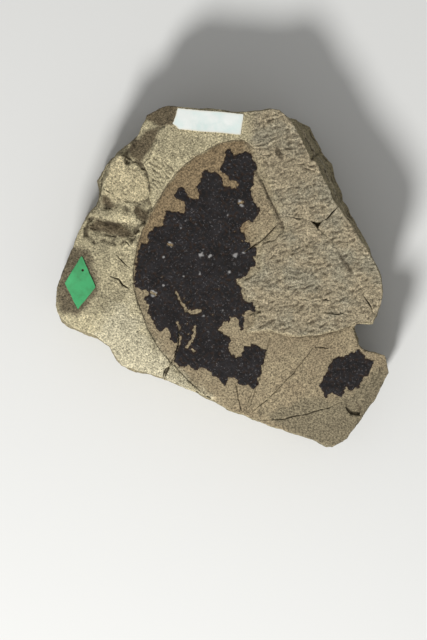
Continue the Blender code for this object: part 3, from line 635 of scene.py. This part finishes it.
# Where the film has flaked off within its outline: a path and the bare width along it.
FLAKED = (
    (((-12.7, -4.6), (-11.4, -7.6), (-9.8, -9.8)), 0.7),
    (((-9.8, -9.9), (-8.2, -10.6), (-6.0, -10.2)), 1.1),
    (((-7.4, -14.4), (-7.6, -16.8), (-8.4, -18.8), (-9.6, -20.4)), 0.8),
    (((-7.9, -21.1), (-7.6, -21.6)), 0.8),
    (((-11.3, -17.3), (-11.9, -20.2)), 0.5),
    (((-12.2, -13.8), (-11.8, -14.8)), 0.9),
    (((-19.6, -5.1), (-18.4, -5.3)), 0.9),
    (((-14.9, 8.9), (-13.8, 8.3)), 0.7),
    (((4.9, 20.1), (6.3, 20.5)), 0.6),
)
FILM_CRACKS = (
    (
        (-14.0, -25.2), (-13.2, -23.0), (-12.0, -20.0), (-11.8, -17.0), (-12.0, -13.0),
        (-11.0, -11.8), (-9.8, -10.2), (-8.8, -8.8), (-7.5, -6.2), (-6.5, -4.0),
        (-5.0, -1.0), (-3.5, 0.8), (-2.3, 2.0), (-1.4, 3.2),
    ),
    ((5.4, 5.4), (7.0, 6.8), (9.0, 8.0), (11.0, 9.3)),
)
# Pale scuffs where the film's skin is bruised: their middles and radii.
SCUFFS = (
    (-5.5, 5.6, 0.7), (-3.2, 5.2, 0.6), (-2.0, 5.0, 0.4), (4.0, 5.6, 0.6), (6.3, 6.3, 0.5),
    (1.8, 16.6, 0.5), (5.6, 20.3, 0.9), (2.3, 0.8, 0.3), (-16.0, 4.8, 0.3), (-10.2, 3.6, 0.3),
    (-6.0, 0.5, 0.4), (-10.6, -0.4, 0.3), (-16.0, -3.0, 0.3), (-14.6, -6.0, 0.3),
    (-19.0, -5.2, 0.9), (-14.3, 8.6, 0.7), (-9.9, 15.2, 0.3), (-11.3, 13.1, 0.3),
    (-2.6, 15.6, 0.3), (-5.0, -11.6, 0.4), (0.5, -10.1, 0.4), (3.7, -10.0, 0.4),
)
CRACK_WIDTH = (0.06, 0.3)
THINNEST_FILM = 0.04
FILM_THICKNESS = 0.20
FILM_EDGE_THICKNESS = 0.10
THINNED_WITHIN = 0.5
SOLID_BELOW = 0.42
SCUFF_RAGGEDNESS = 0.7
SHARPEST = math.radians(50.0)
SHEET_MARGIN = 1.0
SHEET_SINK = 0.05
DROP_HEIGHT = 60.0
corners = [polygon.vertices[:] for polygon in slab_mesh.polygons]
slab_tree = BVHTree.FromPolygons(slab_places.tolist(), corners)
solid_tree = BVHTree.FromPolygons(solid_places.tolist(), corners)


def flat_sheet(outline, step, inset):
    """A flat mesh of the places near an outline where inset is above 0, which is its height."""
    low = np.min(outline, axis=0) - SHEET_MARGIN
    size = np.max(outline, axis=0) + SHEET_MARGIN - low
    columns, rows = np.ceil(size / step).astype(int).tolist()
    bm = bmesh.new()
    bmesh.ops.create_grid(bm, x_segments=columns, y_segments=rows, size=0.5)
    places = low + (np.array([vert.co[:2] for vert in bm.verts]) + 0.5) * size
    for vert, (x, y), value in zip(bm.verts, places.tolist(), inset(places).tolist()):
        vert.co = (x, y, value)
    bmesh.ops.bisect_plane(
        bm, geom=[*bm.verts, *bm.edges, *bm.faces], dist=1e-4,
        plane_co=(0, 0, 0), plane_no=(0, 0, 1), clear_inner=True,
    )
    return bm


def stone_height(surface, places):
    """Heights in millimetres of a surface straight below places in the solids' frame."""
    down = Vector((0.0, 0.0, -1.0))
    hits = [surface.ray_cast(Vector((x, y, DROP_HEIGHT)), down)[0] for x, y in places.tolist()]
    return np.array([hit.z if hit else LEAF_PLANE for hit in hits])


def lay_sheet(name, outline, step, inset, surface, lift):
    """Lays a thin closed sheet on a surface; lift gives how high its upper side is above it."""
    bm = flat_sheet(outline, step, inset)
    inset_layer = bm.verts.layers.float.new("inset")
    upper_layer = bm.verts.layers.float.new("upper")
    verts = list(bm.verts)
    flat_places = np.array([vert.co[:] for vert in verts])
    insets = flat_places[:, 2]
    places = flat_places[:, :2] + drawing_origin
    lower = stone_height(surface, places)
    upper = lower + lift(flat_places[:, :2], insets)
    spots = np.column_stack((places, lower - SHEET_SINK)) * MM
    for vert, spot, depth, high in zip(verts, spots.tolist(), insets.tolist(), upper.tolist()):
        vert.co = spot
        vert[inset_layer] = min(depth, 1.0)
        vert[upper_layer] = high * MM
    for element in bmesh.ops.extrude_face_region(bm, geom=bm.faces[:])["geom"]:
        if isinstance(element, bmesh.types.BMVert):
            element.co.z = element[upper_layer]
    bmesh.ops.recalc_face_normals(bm, faces=bm.faces)
    bmesh.ops.triangulate(bm, faces=bm.faces)
    mesh = bpy.data.meshes.new(name)
    bm.to_mesh(mesh)
    bm.free()
    mesh.shade_smooth()
    mesh.set_sharp_from_angle(angle=SHARPEST)
    sheet = bpy.data.objects.new(name, mesh)
    bpy.context.scene.collection.objects.link(sheet)
    return sheet


def film_inset(outline):
    """The depth within the film's ragged edge, and within the edges of its bare spots."""
    def inset(places):
        flat = flattened(places)
        depth = signed_distance(places, outline) + layered(flat, (0.5, 1.5, 61.0), (0.42, 0.7, 67.0))
        for path, width in FLAKED:
            gap = path_distance(places, path) - width / 2 + 0.5 * rumble(flat, 0.8, 71.0)
            depth = np.minimum(depth, gap)
        pinholes = SOLID_BELOW - rumble(flat, 0.9, 79.0) * (0.5 + 0.5 * rumble(flat, 6.0, 83.0))
        return np.minimum(depth, pinholes)
    return inset


def film_lift(places, inset):
    """The film's height above the stone: thin at its edge, lumpy, and a groove at a crack."""
    thickening = (FILM_THICKNESS - FILM_EDGE_THICKNESS) * ease(inset, 0.0, THINNED_WITHIN)
    lift = FILM_EDGE_THICKNESS + thickening
    lift += layered(flattened(places), (0.04, 2.2, 89.0), (0.05, 0.7, 97.0))
    crack = np.min([path_distance(places, path) for path in FILM_CRACKS], axis=0)
    return THINNEST_FILM + np.maximum(lift, 0.06) * ease(crack, *CRACK_WIDTH)


COAL = colour(0.013, 0.012, 0.012)
COAL_GREY = colour(0.024, 0.022, 0.023)
COAL_BROWN = colour(0.028, 0.018, 0.013)
FLECK_AND_GLINT_GREY = colour(0.13, 0.125, 0.125)
SCUFF_GREY = colour(0.30, 0.29, 0.28)
coal, tree, shader, where = new_material("carbon_film")
base = blend(mottled(4.0, (0.4, 0.65)), COAL, COAL_GREY)
base = blend(marked("inset", (1.0, 0.0), (0.1, 0.45)), base, COAL_BROWN)
# Pale flecks: partly bare stone between the film's crumbs, partly painted glints of the coal's shine.
base = blend(mottled(0.6, (0.58, 0.7), detail=3.0, roughness=0.8), base, FLECK_AND_GLINT_GREY)
base = blend(marked("scuff"), base, SCUFF_GREY)
feed(
    tree, shader, Base_Color=base, Roughness=mottled(0.6, (0.35, 0.65), (0.6, 0.95), 3.0),
    Specular_IOR_Level=0.12, Normal=grained(0.55, 0.15, 0.8),
)
for name, outline, solid_name in (
    ("leaf_film", FILM_EDGE, "leaf_carbon_film"),
    ("leaf_scrap", SCRAP_EDGE, "leaf_carbon_scrap"),
):
    film = lay_sheet(name, outline, FILM_STEP, film_inset(outline), slab_tree, film_lift)
    film_places = vertex_values(film.data)[0]
    film_places[:, :2] -= drawing_origin
    bruises = [radius - np.hypot(*(film_places[:, :2] - (x, y)).T) for x, y, radius in SCUFFS]
    scuffed = np.max(bruises, axis=0) + SCUFF_RAGGEDNESS * rumble(film_places, 0.8, 113.0)
    mark(film.data, "scuff", ease(scuffed, 0.0, 0.35))
    film.data.materials.append(coal)
    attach(film, "root")
    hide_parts(solid_name)


# The green diamond is gummed paper, cut by hand and stuck on the stone. A pin has
# pricked one hole through it, above its middle.
PAPER_STEP = 0.3
DIAMOND_EDGE = ((-39.2, 5.4), (-35.3, -3.5), (-40.3, -9.7), (-44.0, -2.3))
PIN_HOLE = (-38.9, 1.3)
PIN_RADIUS = 0.4
PAPER_HEIGHT = 0.34


def diamond_inset(places):
    """The depth within the diamond's cut edge, and outside its pin hole."""
    hole = np.hypot(*(places - PIN_HOLE).T) - PIN_RADIUS
    depth = signed_distance(places, DIAMOND_EDGE) + 0.10 * rumble(flattened(places), 1.6, 101.0)
    return np.minimum(depth, hole)


def paper_lift(places, inset):
    """The paper's height above the stone, which it doesn't follow closely."""
    return PAPER_HEIGHT + layered(flattened(places), (0.10, 5.0, 103.0), (0.02, 1.2, 107.0))


diamond = lay_sheet("green_diamond", DIAMOND_EDGE, PAPER_STEP, diamond_inset, solid_tree, paper_lift)
GREEN = colour(0.048, 0.35, 0.125)
GREEN_DARK = colour(0.042, 0.26, 0.09)
GREEN_FLECK = colour(0.02, 0.10, 0.04)
green, tree, shader, where = new_material("green_paper")
base = blend(mottled(3.0, (0.42, 0.66)), GREEN, GREEN_DARK)
base = blend(mottled(0.4, (0.66, 0.74), detail=3.0, roughness=0.7), base, GREEN_FLECK)
feed(tree, shader, Base_Color=base, Roughness=0.75, Normal=grained(0.35, 0.05, 0.4))
diamond.data.materials.append(green)
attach(diamond, "root")
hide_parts("green_paper_diamond")


# The white strip is gummed paper too, glued along the upper rim. Its left end is torn,
# and its cut edges have yellowed.
STRIP_EDGE = (
    (-12.1, 46.9), (-6.0, 46.3), (0.0, 45.9), (6.4, 45.2), (5.5, 39.4), (0.0, 40.0),
    (-6.0, 40.4), (-12.2, 41.1), (-13.5, 42.6),
)
TORN_FROM = 9.0
TORN_FULLY = 12.0
CUT_WANDER = 0.06
TEAR_WANDER = 0.25


def strip_inset(places):
    """The depth within the strip's edge, which wanders more where it is torn."""
    tear = CUT_WANDER + TEAR_WANDER * ease(-places[:, 0], TORN_FROM, TORN_FULLY)
    return signed_distance(places, STRIP_EDGE) + tear * rumble(flattened(places), 0.9, 109.0)


strip = lay_sheet("white_strip", STRIP_EDGE, PAPER_STEP, strip_inset, solid_tree, paper_lift)
WHITE = colour(0.80, 0.83, 0.79)
WHITE_BLUISH = colour(0.66, 0.77, 0.73)
YELLOWED = colour(0.74, 0.66, 0.52)
white, tree, shader, where = new_material("white_paper")
base = blend(mottled(4.0, (0.4, 0.7)), WHITE, WHITE_BLUISH)
base = blend(marked("inset", (0.6, 0.0), (0.0, 0.5)), base, YELLOWED)
feed(tree, shader, Base_Color=base, Roughness=0.8, Normal=grained(0.35, 0.05, 0.4))
strip.data.materials.append(white)
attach(strip, "root")
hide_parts("white_paper_strip")


# The floor is a plain pale board under the slab.
FLOOR_REACH = 1.5
bm = bmesh.new()
bmesh.ops.create_grid(bm, x_segments=2, y_segments=2, size=FLOOR_REACH)
floor_mesh = bpy.data.meshes.new("floor")
bm.to_mesh(floor_mesh)
bm.free()
floor = bpy.data.objects.new("floor", floor_mesh)
bpy.context.scene.collection.objects.link(floor)
board, tree, shader, where = new_material("pale_board")
feed(tree, shader, Base_Color=colour(0.72, 0.72, 0.70), Roughness=0.9)
floor_mesh.materials.append(board)


# The lamp shines low from the near left, as one beside a specimen, and a white studio
# fills in softly from all round.
LAMP_BEARING = math.radians(250.0)
LAMP_RISE = math.radians(40.0)
LAMP_AWAY = 1.0
LAMP_WIDTH = 0.22
LAMP_POWER = 11.0
FILL = 0.38
lamp_data = bpy.data.lights.new("lamp", "AREA")
lamp_data.shape = "DISK"
lamp_data.size = LAMP_WIDTH
lamp_data.energy = LAMP_POWER
lamp = bpy.data.objects.new("lamp", lamp_data)
bpy.context.scene.collection.objects.link(lamp)
towards_lamp = Vector((
    math.cos(LAMP_BEARING) * math.cos(LAMP_RISE),
    math.sin(LAMP_BEARING) * math.cos(LAMP_RISE),
    math.sin(LAMP_RISE),
))
lamp.location = towards_lamp * LAMP_AWAY
lamp.rotation_euler = towards_lamp.to_track_quat("Z", "Y").to_euler()

world = bpy.data.worlds.new("studio")
world.use_nodes = True
background = world.node_tree.nodes["Background"]
feed(world.node_tree, background, Color=colour(1.0, 1.0, 1.0), Strength=FILL)
bpy.context.scene.world = world
bpy.context.scene.view_settings.view_transform = "Standard"


# The camera looks straight down from a copy stand. Its picture's tall side shows
# PICTURE_HEIGHT millimetres of the leaf plane, with PICTURE_CENTRE in the middle.
PICTURE_CENTRE = (-2.1, -12.7)
PICTURE_HEIGHT = 180.3
CAMERA_RISE = 750.0
camera_data = bpy.data.cameras.new("camera")
camera_data.lens = camera_data.sensor_width * CAMERA_RISE / PICTURE_HEIGHT
camera = bpy.data.objects.new("camera", camera_data)
bpy.context.scene.collection.objects.link(camera)
camera_x, camera_y = np.array(PICTURE_CENTRE) + drawing_origin
camera.location = Vector((camera_x, camera_y, LEAF_PLANE + CAMERA_RISE)) * MM
bpy.context.scene.camera = camera
